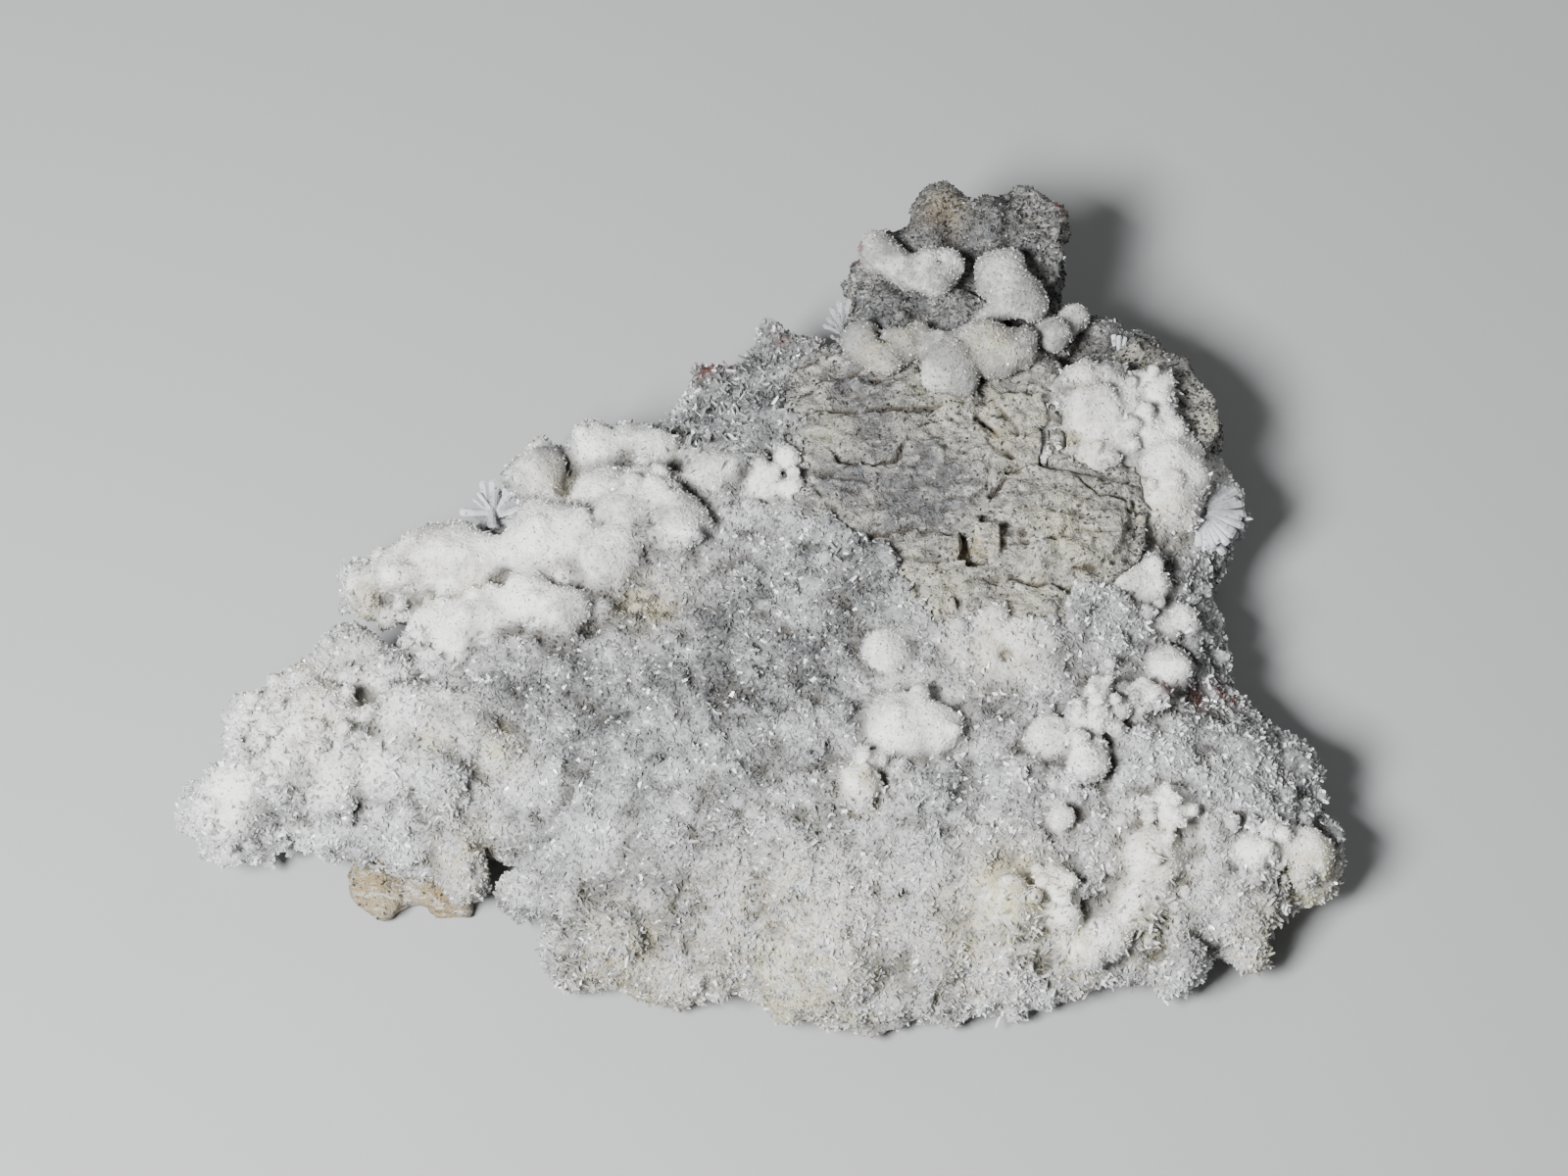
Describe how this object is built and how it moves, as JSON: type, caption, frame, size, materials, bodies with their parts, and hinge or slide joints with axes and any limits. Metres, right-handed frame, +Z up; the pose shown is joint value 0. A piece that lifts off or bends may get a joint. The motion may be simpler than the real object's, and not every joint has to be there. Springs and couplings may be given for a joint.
{
  "type": "rauenthalite mineral specimen",
  "caption": "Natural slab of layered grey rock under a crust of white crystal lumps and sparkling blades, with bare rock showing in a window and at the peak.",
  "frame": {"origin": "middle of the specimen's plan, at the level of the broken underside that it lies on", "axes": "+X along the slab towards its blunt right end, +Y towards the rocky peak, +Z up out of the crust"},
  "size_m": [0.0878, 0.0698, 0.0179],
  "materials": {
    "rock": "matte",
    "white_crystal": "satin",
    "clear_crystal": "polished"
  },
  "bodies": {
    "root": {"rock_matrix": "rock", "crystal_crust": "white_crystal", "upper_crystal_lumps": "white_crystal", "left_crystal_lumps": "white_crystal", "shoulder_crystal_lumps": "white_crystal", "clear_crystals": "clear_crystal"}
  },
  "joints": []
}
